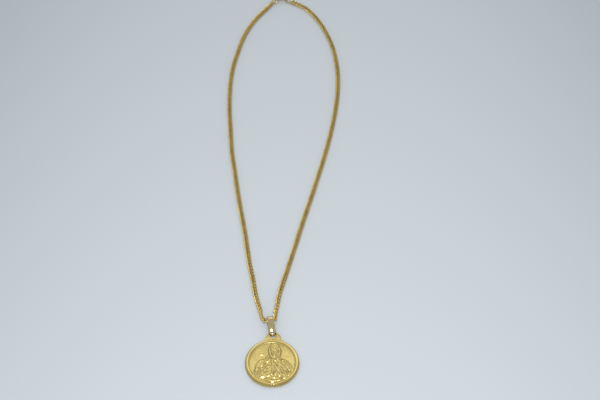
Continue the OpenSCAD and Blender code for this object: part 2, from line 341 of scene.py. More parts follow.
class Recipe:
    """A material in the making: its node tree and its one Principled shader."""

    def __init__(self, name: str) -> None:
        """Starts an empty material with that name."""
        self.material = bpy.data.materials.new(name)
        self.material.use_nodes = True
        self.tree = self.material.node_tree
        self.tree.nodes.clear()

    def node(
        self, kind: str, settings: dict[str, object], inputs: dict[int | str, object], output: int | str = 0
    ) -> Signal:
        """Adds any node: its settings first, then the values and links of its sockets.

        Args:
            kind: The node's type.
            settings: Its own settings, such as an operation.
            inputs: Values or signals by socket name or number.
            output: The output that is wanted.

        Returns:
            That output.
        """
        made = self.tree.nodes.new(kind)
        for key, value in settings.items():
            setattr(made, key, value)
        for key, value in inputs.items():
            if isinstance(value, Signal):
                self.tree.links.new(value.socket, made.inputs[key])
            else:
                made.inputs[key].default_value = value
        return Signal(self, made.outputs[output])

    def noise(self, pattern: Pattern) -> Signal:
        """Returns a noise pattern from 0 to 1, on the object's own coordinates."""
        inputs = {"Scale": pattern.scale, "Detail": pattern.detail, "Roughness": pattern.weight}
        inputs["Vector"] = self.mapped(pattern.stretch, pattern.turn)
        return self.node("ShaderNodeTexNoise", {}, inputs, "Fac")

    def mapped(self, scale: Point = (1, 1, 1), turn: float = 0.0) -> Signal:
        """Returns the object's own coordinates, scaled and turned about Z.

        Args:
            scale: Scale along each axis.
            turn: The turn in degrees.
        """
        own = self.node("ShaderNodeTexCoord", {}, {}, "Object")
        inputs = {"Vector": own, "Rotation": (0, 0, math.radians(turn)), "Scale": scale}
        return self.node("ShaderNodeMapping", {}, inputs)

    def part(self, vector: Signal, axis: str) -> Signal:
        """Returns one axis of a vector."""
        return self.node("ShaderNodeSeparateXYZ", {}, {"Vector": vector}, axis)

    def attribute(self, name: str) -> Signal:
        """Returns a number that the mesh carries at each vertex."""
        return self.node("ShaderNodeAttribute", {"attribute_name": name}, {}, "Fac")

    def blend(self, factor: Signal, low: Colour, high: Colour) -> Signal:
        """Returns a mix of two colours: a factor of 0 gives the first, and 1 the second."""
        inputs = {0: factor, 6: (*low, 1), 7: (*high, 1)}
        return self.node("ShaderNodeMix", {"data_type": "RGBA"}, inputs, 2)

    def shader(self, inputs: dict[str, object]) -> None:
        """Finishes the material with one Principled shader.

        Args:
            inputs: Values or signals by socket name.
        """
        surface = self.node("ShaderNodeBsdfPrincipled", {}, inputs, "BSDF")
        made = self.tree.nodes.new("ShaderNodeOutputMaterial")
        self.tree.links.new(surface.socket, made.inputs["Surface"])


class Wear(Enum):
    """How a gold surface is finished: the carried number is its share of satin grain."""

    POLISHED = 0.25
    SATIN = 1.0


@dataclass(frozen=True)
class Gold:
    """Gold of one colour and polish.

    A shade moves the colour from light (0) to dark (1), and a rough value moves the roughness. On the medal
    the shade also takes large painted reflections, lighter and darker, and the antiqued hollows and painted
    light and shade noted on its mesh.
    """

    name: str
    light: Colour
    dark: Colour
    roughness: float
    wear: Wear
    patina_and_painted_shade_marks: bool = False
    middle_shade: float = 0.25
    mottle: Pattern = Pattern(260, 3)
    mottle_shade: float = 0.5
    mottle_rough: float = 0.12
    grain: Pattern = Pattern(2600, 4, 0.6)
    grain_rough: float = 0.14
    scratches: Pattern = Pattern(1, 2, stretch=(300, 5200, 2600), turn=28)
    scratch_height: float = 0.4
    # painted reflections: large lighter and darker patches on the medal, as if its satin field mirrored the
    # surroundings
    painted_reflections: Pattern = Pattern(110, 1)
    painted_reflection_shade: float = 0.7
    patched_mottle: float = 0.6
    recess_rough: float = 0.12
    polish_share: float = 0.45
    bump: float = 0.22
    bump_height: float = 0.00002

    @cache
    def material(self) -> bpy.types.Material:
        """Returns the material, made once."""
        recipe = Recipe(self.name)
        grain = recipe.noise(self.grain)
        mottle = recipe.noise(self.mottle) - 0.5
        shade = mottle * self.mottle_shade
        rough = self.roughness + mottle * self.mottle_rough
        rough = rough + (grain - 0.5) * (self.grain_rough * self.wear.value)
        if self.patina_and_painted_shade_marks:
            # the mesh's own shade: patina in the relief's hollows, plus painted light on the field's foot,
            # painted reflections on the cut facets and painted shade on the tab
            patina_and_painted_shade = recipe.attribute("patina_and_painted_shade")
            # painted reflections: large lighter and darker patches over the medal
            painted_reflections = recipe.noise(self.painted_reflections) - 0.5
            shade = shade * self.patched_mottle + painted_reflections * self.painted_reflection_shade + patina_and_painted_shade
            rough = rough - recipe.attribute("polish") * (self.roughness * self.polish_share)
            rough = rough + patina_and_painted_shade * self.recess_rough
        colour = recipe.blend((shade + self.middle_shade).clamped(), self.light, self.dark)
        height = grain * self.wear.value + recipe.noise(self.scratches) * self.scratch_height
        inputs = {"Height": height, "Strength": self.bump, "Distance": self.bump_height}
        bump = recipe.node("ShaderNodeBump", {}, inputs, "Normal")
        recipe.shader({"Base Color": colour, "Metallic": 1.0, "Roughness": rough.clamped(), "Normal": bump})
        return recipe.material


MEDAL_GOLD = Gold("cast_gold", (0.84, 0.665, 0.25), (0.36, 0.25, 0.075), 0.29, Wear.SATIN, patina_and_painted_shade_marks=True)
PALE_GOLD = Gold("pale_gold", (0.80, 0.66, 0.38), (0.62, 0.49, 0.26), 0.08, Wear.POLISHED)
CHAIN_GOLD = Gold(
    "wire_gold", (0.80, 0.61, 0.22), (0.54, 0.40, 0.125), 0.33, Wear.SATIN,
    mottle=Pattern(600, 3), mottle_shade=4.0,
)


@dataclass(frozen=True)
class Relief:
    """The cast picture: a veiled woman, half length, with joined hands, rays and a crescent.

    Each form is a bent ellipse: x, y, half length, half width, turn, bend, height. A form of the face that is
    off its middle stands on both sides. Each swell is a seed and a wavelength in millimetres.
    """

    blend: float = 5
    roundness: float = 0.6
    drift: float = 0.13
    fullness: float = 0.3
    grain: float = 0.007
    drift_swells: tuple[tuple[int, float], ...] = ((1, 3), (2, 3))
    fullness_swell: tuple[int, float] = (3, 1.7)
    grain_swell: tuple[int, float] = (4, 0.85)
    waves: int = 24
    wave_range: Pair = (0.7, 1.4)
    broad: float = 1.45
    full: float = 1.3
    face_at: Pair = (0.7, 5.3)
    face_tilt: float = 6
    face_calm: float = 1.6
    rays_at: Pair = (1.0, 5.4)
    ray_span: Pair = (4.1, 7.2)
    ray_turns: tuple[int, ...] = (-18, -6, 6, 18, 30, 150, 162, 174, 186, 198)
    ray_width: float = 0.22
    ray_height: float = 0.06
    masses: tuple[Form, ...] = (
        # veil, neck and breast
        (1.0, 5.4, 4.3, 3.0, 93, 0, 0.27),
        (0.6, 2.4, 1.6, 1.2, 90, 0, 0.3),
        (0.7, -2.6, 5.2, 3.4, 90, 0, 0.31),
        # shoulders under the mantle, left and right
        (-3.9, -0.8, 4.5, 2.3, 33, -1.1, 0.3),
        (5.3, -1.0, 4.4, 2.3, -35, -1.1, 0.3),
        # mantle over the arms, left and right
        (-4.6, -4.4, 4.6, 3.3, 60, -0.6, 0.3),
        (5.9, -4.5, 4.5, 3.3, 120, 0.6, 0.3),
        # sleeves, from the elbow to the wrist
        (-2.7, -6.5, 3.3, 1.25, 20, -0.2, 0.4),
        (4.3, -6.5, 3.2, 1.25, 160, 0.2, 0.4),
        # joined hands
        (0.45, -3.9, 2.4, 0.7, 96, 0.1, 0.52),
        (1.2, -3.95, 2.4, 0.68, 87, -0.1, 0.49),
        # crescent at the foot
        (0.4, -9.25, 4.6, 0.62, 0, 1.15, 0.3),
    )
    face_masses: tuple[Form, ...] = (
        (0, 0, 2.35, 1.62, 90, 0, 0.42),
        (0, -1.75, 0.75, 0.7, 0, 0, 0.38),
    )
    face_folds: tuple[Form, ...] = (
        # brows, sockets and lids
        (-0.68, 0.56, 0.6, 0.2, 6, -0.12, 0.05),
        (-0.66, 0.2, 0.55, 0.3, 0, 0, -0.07),
        (-0.66, 0.17, 0.37, 0.18, 0, -0.05, 0.08),
        # nose, lips and chin
        (0, -0.1, 0.9, 0.22, 90, 0, 0.11),
        (0, -0.74, 0.3, 0.24, 0, 0, 0.07),
        (0, -1.24, 0.48, 0.13, 0, -0.06, 0.05),
        (0, -1.5, 0.38, 0.14, 0, 0.05, 0.06),
        (0, -1.98, 0.4, 0.28, 0, 0, 0.05),
        # hair, parted in the middle
        (-0.85, 1.6, 1.15, 0.3, 38, -0.25, 0.12),
        (-1.45, 0.55, 0.95, 0.24, 68, -0.2, 0.1),
    )
    folds: tuple[Form, ...] = (
        # hem of the veil, from the crown down each side
        (-1.35, 5.2, 3.0, 0.32, 100, -0.75, 0.13),
        (3.1, 4.9, 3.2, 0.32, 84, 0.8, 0.13),
        (-0.2, 8.6, 1.5, 0.3, 40, -0.3, 0.12),
        (2.1, 8.6, 1.5, 0.3, -38, -0.3, 0.12),
        # veil gathered on the shoulders
        (-2.2, 1.9, 2.2, 0.34, 60, 0.3, 0.12),
        (4.0, 1.7, 2.2, 0.34, 118, -0.3, 0.12),
        # edge of the mantle over the shoulders, and its folds fanning down
        (-4.7, 0.6, 4.2, 0.36, 36, -1.1, 0.12),
        (-4.3, -1.3, 4.2, 0.36, 43, -0.95, 0.13),
        (-3.6, -2.7, 4.0, 0.36, 50, -0.7, 0.13),
        (-2.5, -3.2, 3.1, 0.34, 57, -0.4, 0.12),
        (-7.0, -4.4, 2.6, 0.36, 80, -0.3, 0.12),
        (-5.6, -5.3, 2.0, 0.34, 64, -0.2, 0.12),
        (6.1, 0.4, 4.1, 0.36, -38, -1.1, 0.12),
        (5.8, -1.4, 4.1, 0.36, -44, -0.95, 0.13),
        (5.1, -2.8, 3.9, 0.36, -51, -0.7, 0.13),
        (4.0, -3.2, 3.0, 0.34, -58, -0.4, 0.12),
        (8.0, -4.5, 2.4, 0.36, 100, 0.3, 0.12),
        (7.0, -5.4, 1.9, 0.34, 116, 0.2, 0.12),
        # neckline and folds of the dress
        (0.65, 1.0, 1.9, 0.28, 0, 0.7, 0.1),
        (-0.9, -0.8, 2.2, 0.3, 68, -0.3, 0.11),
        (0.15, -0.5, 1.7, 0.28, 82, -0.1, 0.1),
        (1.3, -0.5, 1.7, 0.28, 98, 0.1, 0.1),
        (2.3, -0.8, 2.2, 0.3, 112, 0.3, 0.11),
        # cuffs round the wrists, and folds of the sleeves
        (-0.15, -5.7, 1.15, 0.34, 118, -0.25, 0.14),
        (1.85, -5.75, 1.15, 0.34, 62, 0.25, 0.14),
        (-3.3, -7.0, 2.3, 0.32, 22, -0.3, 0.11),
        (-2.9, -5.9, 1.9, 0.3, 26, 0.2, 0.1),
        (4.9, -7.0, 2.2, 0.32, 158, 0.3, 0.11),
        (4.5, -5.9, 1.9, 0.3, 154, -0.2, 0.1),
        # hem of the dress above the crescent
        (0.8, -7.6, 2.4, 0.3, 0, 0.3, 0.1),
        # groove between the hands
        (0.85, -3.9, 2.1, 0.12, 92, 0, -0.12),
    )

    def on_face(self, forms: Sequence[Form]) -> list[Form]:
        """Returns forms of the face, placed and tilted with the head, those off its middle on both sides.

        Args:
            forms: The forms, about the face's own middle.
        """
        turn = math.radians(self.face_tilt)
        made = []
        for across, up, length, width, angle, bend, height in forms:
            for side in (1, -1) if across else (1,):
                x = self.face_at[0] + side * across * math.cos(turn) - up * math.sin(turn)
                y = self.face_at[1] + side * across * math.sin(turn) + up * math.cos(turn)
                made.append((x, y, length, width, side * angle + self.face_tilt, bend, height))
        return made

    def rays(self) -> list[Form]:
        """Returns the rays that stand round the head."""
        middle, half = sum(self.ray_span) / 2, (self.ray_span[1] - self.ray_span[0]) / 2
        made = []
        for turn in self.ray_turns:
            x = self.rays_at[0] + middle * math.cos(math.radians(turn))
            y = self.rays_at[1] + middle * math.sin(math.radians(turn))
            made.append((x, y, half, self.ray_width, turn, 0, self.ray_height))
        return made

    def lift(self, x: np.ndarray, y: np.ndarray, form: Form) -> np.ndarray:
        """Returns one form's height, falling to nothing at its edge.

        Args:
            x: Places across the medal.
            y: Places up the medal.
            form: The form.
        """
        turn = math.radians(form[4])
        dx, dy = x - form[0], y - form[1]
        u = (dx * math.cos(turn) + dy * math.sin(turn)) / form[2]
        v = (dy * math.cos(turn) - dx * math.sin(turn) - form[5] * u * u) / form[3]
        return form[6] * np.clip(1 - u * u - v * v, 0, None) ** self.roundness

    def swell(self, x: np.ndarray, y: np.ndarray, seed: int, length: float) -> np.ndarray:
        """Returns a smooth random swell of unit size, the same each time.

        Args:
            x: Places across the medal.
            y: Places up the medal.
            seed: Which swell it is.
            length: Its usual wavelength in millimetres.
        """
        dice = np.random.default_rng(seed)
        total = np.zeros_like(x)
        for _ in range(self.waves):
            turn, shift = dice.uniform(0, math.tau, 2)
            pace = math.tau / (length * dice.uniform(*self.wave_range))
            total = total + np.cos(pace * (x * math.cos(turn) + y * math.sin(turn)) + shift)
        return total / math.sqrt(self.waves / 2)

    def height(self, x: np.ndarray, y: np.ndarray) -> np.ndarray:
        """Returns the picture's height over the field, in millimetres.

        The folds wander and swell as modelled cloth does; the face stays calm.

        Args:
            x: Places across the medal.
            y: Places up the medal.
        """
        calm = np.clip(np.hypot(x - self.face_at[0], y - self.face_at[1]) / self.face_calm - 1, 0, 1)
        grain = calm * self.grain * self.swell(x, y, *self.grain_swell)
        x = x + calm * self.drift * self.swell(x, y, *self.drift_swells[0])
        y = y + calm * self.drift * self.swell(x, y, *self.drift_swells[1])
        masses = [*self.masses, *self.on_face(self.face_masses)]
        cloth = [(*f[:3], f[3] * self.broad, *f[4:6], f[6] * self.full) for f in self.folds]
        folds = [*cloth, *self.on_face(self.face_folds), *self.rays()]
        body = sum(self.lift(x, y, form) ** self.blend for form in masses) ** (1 / self.blend)
        full = 1 + calm * self.fullness * self.swell(x, y, *self.fullness_swell)
        return body + full * sum(self.lift(x, y, form) for form in folds) + grain


@dataclass(frozen=True)
class PatinaAndPaintedLight:
    """How the medal's colour and polish vary over it: antiqued, darker hollows in the relief, lighter crests,
    and painted light and shade on the field's foot, the bevel's cut facets and the tab; its recesses are
    measured on a square grid of cells.
    """

    cells: int = 420
    margin: float = 0.4
    rounds: int = 60
    deep: float = 0.09
    crest_polish: float = 0.7
    # painted light: a lighter ring on the slope round the field's foot, its reach and its shade (below zero,
    # so lighter)
    painted_ring_reach: float = 0.3
    foot_painted_light: float = -0.2
    bevel_from: float = 0.12
    # painted reflections on the bevel: a darker shade, and every other cut facet painted darker, the next
    # lighter
    bevel_painted_shade: float = 0.12
    cut_painted_contrast: float = 0.22
    tab_from: float = 0.1
    tab_root: float = 1
    tab_shade: float = 0.4
    # painted shade: the tab darker towards its right side
    tab_painted_shade_slant: float = 0.3
    tab_polish: float = 0.4


@dataclass
class Medal:
    """The round cast medal with its raised border, cut edge, picture and drilled tab."""

    at: Pair = (-4, -112)
    turn: float = 1
    radius: float = 12
    thickness: float = 1.8
    soft: float = 0.05
    border_radius: float = 11.3
    slope_radius: float = 10.6
    field_radius: float = 10.2
    field_z: float = 1.35
    back_z: float = 0.3
    band: float = 0.75
    lip: float = 0.2
    lip_steps: int = 5
    cuts: int = 60
    cut_depth: float = 0.18
    cut_land: float = 0.12
    groove: float = 0.2
    columns: int = 960
    fade: float = 0.6
    cove_radius: float = 9.3
    cove: float = 0.15
    cove_power: float = 1.5
    tab_width: float = 6.8
    tab_height: float = 3.6
    tab_z: Pair = (0.6, 1.4)
    tab_shoulder: Pair = (2.2, 2.4)
    tab_fullness: float = 1.3
    tab_flare: tuple[Pair, ...] = ((1.5, -1.15), (0.9, -0.65), (0.4, -0.25), (0.12, 0.15), (0, 0.6))
    hole_up: float = 1.85
    hole_radius: float = 1.4
    picture: Relief = Relief()
    patina_and_painted_light: PatinaAndPaintedLight = PatinaAndPaintedLight()

    def edge_at(self, angle: np.ndarray) -> np.ndarray:
        """Returns how far out the outline of the bright cuts lies at each angle.

        Args:
            angle: Angles in radians.
        """
        half = math.pi / self.cuts
        k = np.floor(angle / half + 1e-9)
        near = np.where(k % 2 == 0, self.radius + self.cut_land, self.radius - self.cut_depth)
        far = np.where(k % 2 == 0, self.radius - self.cut_depth, self.radius + self.cut_land)
        past = angle - k * half
        return near * far * math.sin(half) / (near * np.sin(past) + far * np.sin(half - past))

    def profile(self) -> list[Pair]:
        """Returns the rim's profile from the front field round the edge to the back field."""
        field, slope, border = self.field_radius, self.slope_radius, self.border_radius
        top, soft, foot = self.thickness, self.soft, self.field_z + self.cove
        band_low = (top - self.band) / 2
        bevel = (top - band_low - self.band) / (self.radius - border)
        steps = [self.radius - self.lip + self.lip / self.lip_steps * k for k in range(self.lip_steps)]
        front = [(r, top - (r - border) * bevel) for r in steps]
        back = [(r, top - z) for r, z in reversed(front)]
        return [
            (field, foot), (field + soft / 2, foot + soft / 2),
            (slope - soft, top - soft), (slope - soft / 3, top - soft / 4), (slope + soft, top),
            (border - soft, top), (border + soft / 4, top - soft / 3),
            (border + 2 * soft, top - 2 * soft * bevel),
            *front, (self.radius, top - band_low), (self.radius, band_low), *back,
            (border + soft, soft * bevel), (border, 0), (slope, 0),
            (field, self.back_z), (field - soft, self.back_z),
        ]

    def rim(self) -> Piece:
        """Returns the rim with its bright cuts, closed at the back and capped for now in front."""
        angle = np.arange(self.columns) * math.tau / self.columns
        limit = self.edge_at(angle)
        valley = 1 - np.abs(angle * self.cuts / math.pi % 2 - 1)
        valley = np.where(np.abs(angle - math.pi / 2) < self.tab_width / 2 / self.radius, 0, valley)
        stations = []
        for r, z in self.profile():
            out = np.minimum(r, limit)
            slope = np.clip((r - self.border_radius) / (self.radius - self.border_radius), 0, 1)
            level = z - (self.groove * slope * valley if z > self.thickness / 2 else 0)
            stations.append(np.column_stack([out * np.cos(angle), out * np.sin(angle), level + 0 * angle]))
        return Bench.loft("medal", np.array(stations))

    def tab_outline(self) -> np.ndarray:
        """Returns the tab's outline: flared at its root, with full shoulders."""
        half, top = self.tab_width / 2, self.radius + self.tab_height
        wide, tall = self.tab_shoulder
        turn = np.radians(np.linspace(0, 90, 13))
        power = 2 / self.tab_fullness
        shoulder = np.column_stack([
            half - wide * (1 - np.cos(turn) ** power), top - tall * (1 - np.sin(turn) ** power)
        ])
        root = np.array(self.tab_flare) + (half, self.radius)
        right = np.vstack([root, shoulder])
        return np.vstack([right, right[::-1] * (-1, 1)])

    def tab(self) -> Piece:
        """Returns the drilled plate that stands on the medal's edge."""
        outline = self.tab_outline()
        rows = [np.column_stack([outline, np.full(len(outline), z)]) for z in self.tab_z]
        plate = Bench.loft("tab", np.array(rows))
        place = (0, self.radius + self.hole_up, sum(self.tab_z) / 2)
        bpy.ops.mesh.primitive_cylinder_add(vertices=96, radius=self.hole_radius, depth=4, location=place)
        Bench.combine(plate, bpy.context.object, "DIFFERENCE")
        Bench.modify(
            plate, "BEVEL", width=0.13, segments=3, limit_method="ANGLE", angle_limit=math.radians(50)
        )
        return plate

    def skin(self) -> Piece:
        """Returns the cast front field: a square grid drawn into the round, then raised."""
        cells = self.columns // 4
        Bench.clear()
        bpy.ops.mesh.primitive_grid_add(x_subdivisions=cells, y_subdivisions=cells, size=2)
        skin = bpy.context.object
        u, v = Bench.spots(skin)[:, :2].T
        wide = np.abs(u) >= np.abs(v)
        with np.errstate(divide="ignore", invalid="ignore"):
            angle = np.where(wide, math.pi / 4 * v / u, math.pi / 2 - math.pi / 4 * u / v)
        out = np.where(wide, u, v) * self.field_radius
        angle = np.nan_to_num(angle)
        x, y = out * np.cos(angle), out * np.sin(angle)
        fade = np.clip((self.field_radius - np.abs(out)) / self.fade, 0, 1)
        rise = np.clip((np.abs(out) - self.cove_radius) / (self.field_radius - self.cove_radius), 0, 1)
        level = self.field_z + self.cove * rise**self.cove_power + fade * self.picture.height(x, y)
        Bench.move(skin, np.column_stack([x, y, level]))
        Bench.take(skin)
        bpy.ops.object.shade_smooth()
        return skin

    def mark_surface(self, piece: Piece) -> None:
        """Notes at each vertex its shade and how bright it is polished: antiqued and darker in the relief's
        hollows, lighter on its crests, with painted light and shade on the field's foot, the bevel's cut
        facets and the tab.

        Args:
            piece: The medal in its own frame, in millimetres.
        """
        look = self.patina_and_painted_light
        reach = self.field_radius + look.margin
        ticks = np.linspace(-reach, reach, look.cells)
        level = self.picture.height(*np.meshgrid(ticks, ticks))
        wide = level.copy()
        for _ in range(look.rounds):
            near = [np.roll(wide, step, axis) for axis in (0, 1) for step in (1, -1)]
            wide = sum(near, wide) / (len(near) + 1)
        dip = np.clip((wide - level) / look.deep, -1, 1)
        spots = Bench.spots(piece)
        radius = np.hypot(spots[:, 0], spots[:, 1])
        upper = spots[:, 2] > self.thickness / 2
        last = look.cells - 1
        cell = np.clip((spots[:, :2] + reach) / (2 * reach) * last, 0, last).astype(int)
        front = upper & (radius < self.field_radius + 2 * NEAR)
        patina_and_painted_shade = np.where(front, dip[cell[:, 1], cell[:, 0]], 0)
        polish = np.where(front, np.clip(-patina_and_painted_shade, 0, 1) * look.crest_polish, 1)
        # painted light: the slope round the field's foot is painted lighter
        foot = np.clip(1 - np.abs(radius - self.field_radius) / look.painted_ring_reach, 0, 1)
        patina_and_painted_shade = patina_and_painted_shade + look.foot_painted_light * foot
        # painted reflections: on the bevel every other cut facet is painted darker and the next lighter, as
        # lit and shaded facets
        cut = np.sign(np.sin(self.cuts * np.arctan2(spots[:, 1], spots[:, 0])))
        under_tab = (spots[:, 1] > 0) & (np.abs(spots[:, 0]) < self.tab_width / 2 + look.tab_root)
        bevel = upper & (radius > self.border_radius + look.bevel_from) & ~under_tab
        patina_and_painted_shade = np.where(bevel, look.bevel_painted_shade + look.cut_painted_contrast * cut, patina_and_painted_shade)
        # the tab: darker overall, with painted shade growing towards its right side
        tab = radius > self.radius + self.cut_land + look.tab_from
        patina_and_painted_shade = np.where(tab, look.tab_shade + spots[:, 0] / self.tab_width * look.tab_painted_shade_slant, patina_and_painted_shade)
        polish = np.where(tab, look.tab_polish, polish)
        for name, values in (("patina_and_painted_shade", patina_and_painted_shade), ("polish", polish)):
            marked = piece.data.attributes.new(name, "FLOAT", "POINT")
            marked.data.foreach_set("value", values.astype(np.float32))

    def build(self) -> None:
        """Builds the medal."""
        medal = self.rim()
        Bench.combine(medal, self.tab(), "UNION")
        Bench.smooth(medal, angle=20)
        spots = Bench.spots(medal)
        foot = np.hypot(spots[:, 0], spots[:, 1]) < self.field_radius + NEAR
        Bench.pick(medal, foot & (np.abs(spots[:, 2] - self.field_z - self.cove) < NEAR))
        with Bench.editing(medal):
            bpy.ops.mesh.delete(type="ONLY_FACE")
        medal = Bench.join("medal_cast", [medal, self.skin()])
        Bench.close(medal)
        self.mark_surface(medal)
        place = placed(*self.at) @ turned(-self.turn, "Z")
        Bench.deliver(medal, place, MEDAL_GOLD, "medal", "medal_gold")

    def hole(self) -> Pair:
        """Returns where the tab's hole is in the model's frame."""
        reach = self.radius + self.hole_up
        turn = math.radians(self.turn)
        return (self.at[0] + reach * math.sin(turn), self.at[1] + reach * math.cos(turn))


@dataclass
class Bail:
    """The tapered, ridged strap that hangs on the tab and carries the chain."""

    hole: Pair
    span: float = 6.3
    lean: float = 9.5
    eye_radius: float = 1.6
    eye_wall: float = 0.6
    foot_radius: float = 0.65
    foot_wall: float = 0.4
    widths: tuple[Pair, ...] = ((-0.5, 1.9), (-0.12, 3.2), (6.3, 3.0))
    ridges: tuple[Pair, ...] = ((0, 0.37), (6.3, 0.62))
    aside: float = -0.12
    hang: float = 0.98
    fall: float = 0.15
    soft: float = 0.06
    bow: float = 1.15
    bow_powers: Pair = (0.7, 1.2)
    eye_steps: int = 40
    foot_steps: int = 56
    side_steps: int = 10

    def stations(self) -> np.ndarray:
        """Returns the strap's sections round its loop, in its own frame."""
        foot_out, eye_out = self.foot_radius + self.foot_wall, self.eye_radius + self.eye_wall
        slant = math.atan2(eye_out - foot_out, self.span)
        spread = math.acos((foot_out - eye_out) / math.hypot(self.span, eye_out - foot_out))
        top, bottom = slant + spread, slant - spread
        side = np.linspace(0, 1, self.side_steps + 2)[1:-1]
        turns = [
            np.linspace(bottom, top, self.eye_steps),
            np.full(side.size, top),
            np.linspace(top, bottom + math.tau, self.foot_steps),
            np.full(side.size, bottom + math.tau),
            np.array([bottom]),
        ]
        along = [np.ones(self.eye_steps), 1 - side, np.zeros(self.foot_steps), side, np.ones(1)]
        return np.array([self.section(a, t) for a, t in zip(np.concatenate(along), np.concatenate(turns))])

    def section(self, along: float, turn: float) -> np.ndarray:
        """Returns one ridged section of the strap.

        Args:
            along: How far from the foot (0) to the eye (1) its bend's centre lies.
            turn: Where round the bend the section lies, in radians.

        Returns:
            The section's points.
        """
        radius = self.foot_radius + along * (self.eye_radius - self.foot_radius)
        wall = self.foot_wall + along * (self.eye_wall - self.foot_wall)
        middle_y = along * self.span
        middle_z = radius + wall
        outside = middle_y + (radius + wall) * math.cos(turn)
        half = np.interp(outside, *zip(*self.widths)) / 2
        flat = half * np.interp(outside, *zip(*self.ridges))
        side = wall - (radius + wall) * self.fall
        soft = self.soft
        right = [
            (half - soft, 0), (half, soft), (half, side - soft), (half - soft, side + soft / 3),
            (flat + soft, wall - soft / 2), (flat - soft, wall),
        ]
        left = [(-x, z) for x, z in reversed(right)]
        across, out = np.array([left[-1], (0, 0), *right, (0, wall), *left[:-1]]).T
        reach = radius + out
        up = middle_y + reach * math.cos(turn)
        near, far = self.bow_powers
        bowed = self.bow * along**near * (1 - along) ** far * (math.sin(turn) > 0)
        return np.column_stack([across, up, middle_z + bowed + reach * math.sin(turn)])

    def build(self) -> None:
        """Builds the bail."""
        bail = Bench.loft("bail_strap", self.stations())
        Bench.smooth(bail, angle=24)
        place = placed(self.hole[0] + self.aside, self.hole[1]) @ turned(self.lean, "Z")
        Bench.deliver(bail, place @ placed(0, self.hang), PALE_GOLD, "bail", "bail_gold")


@dataclass
class Ring:
    """A loose wire ring with a hairline saw cut, leaning on the table."""

    name: str
    node: str
    at: Pair
    face: float
    lean: float
    radius: float
    wire: float
    cut_at: float = 90
    cut: float = 1.2

    def place(self) -> Matrix:
        """Returns the ring's place on the table."""
        up = self.radius * math.sin(math.radians(abs(self.lean))) + self.wire
        return placed(*self.at, up) @ turned(self.face, "Z") @ turned(self.lean, "X")

    def build(self) -> None:
        """Builds the ring."""
        start = self.cut_at + self.cut / 2
        end = self.cut_at + 360 - self.cut / 2
        ring = arc_tube(self.name, self.radius, self.wire, start, end, sides=18, pitch=5)
        Bench.smooth(ring, angle=40)
        Bench.deliver(ring, self.place(), PALE_GOLD, self.node, "bail_gold")


@dataclass
class BoltRing:
    """The clasp: a ring with a gap, the bolt that closes it, its nub and its eyelet, each modelled solid."""

    at: Pair = (-1.1, 120.5)
    tilt: float = 12
    radius: float = 2.9
    tube: float = 0.6
    bolt: float = 0.36
    bolt_hold: float = 6
    gap: Pair = (72, 112)
    bead: float = 0.03
    bead_turn: float = 5
    eyelet_angle: float = 217
    eyelet_radius: float = 0.95
    eyelet_wire: float = 0.3
    solder: float = 0.1
    nub_angle: float = 128
    nub_radius: float = 0.34
    nub_reach: float = 0.75
    nub_profile: tuple[Pair, ...] = (
        (0, 1.0), (0.2, 0.82), (0.75, 0.82), (0.86, 1.0), (0.95, 0.8), (1.0, 0.25),
    )

    def shell(self) -> Piece:
        """Returns the ring with a bead round each end of its gap."""
        first, last = self.gap
        parts = [arc_tube("shell", self.radius, self.tube - self.bead, last, first + 360, sides=24)]
        for start in (last, first - self.bead_turn):
            end = start + self.bead_turn
            parts.append(arc_tube("bead", self.radius, self.tube, start, end, sides=24, pitch=1.5))
        return Bench.join("clasp_shell", parts)

    def thumb(self) -> Piece:
        """Returns the sprung bolt with its thumb nub."""
        first, last = self.gap[0] - self.bolt_hold, self.gap[1] + self.bolt_hold
        wire = arc_tube("bolt", self.radius, self.bolt, first, last, sides=16)
        reach = self.tube + self.nub_reach
        circle = round_ring(16) * self.nub_radius
        rows = []
        for height, width in self.nub_profile:
            rows.append(np.column_stack([np.full(len(circle), height * reach), circle * width]))
        nub = Bench.loft("nub", np.array(rows))
        Bench.set_down(nub, turned(self.nub_angle, "Z") @ placed(self.radius, 0))
        return Bench.join("clasp_bolt", [wire, nub])

    def eyelet(self) -> Piece:
        """Returns the eyelet, sunk into the ring by the depth of its solder."""
        away = self.radius + self.tube + self.eyelet_radius - self.solder
        ring = arc_tube("clasp_eyelet", self.eyelet_radius, self.eyelet_wire, 0, 360, sides=16, pitch=7.5)
        Bench.set_down(ring, turned(self.eyelet_angle, "Z") @ placed(away, 0))
        return ring

    def build(self) -> None:
        """Builds the clasp."""
        up = self.radius * math.sin(math.radians(self.tilt)) + self.tube
        place = placed(*self.at, up) @ turned(-self.tilt, "X")
        for piece in (self.shell(), self.thumb(), self.eyelet()):
            Bench.smooth(piece, angle=40)
            Bench.deliver(piece, place, PALE_GOLD, "clasp", "bail_gold")


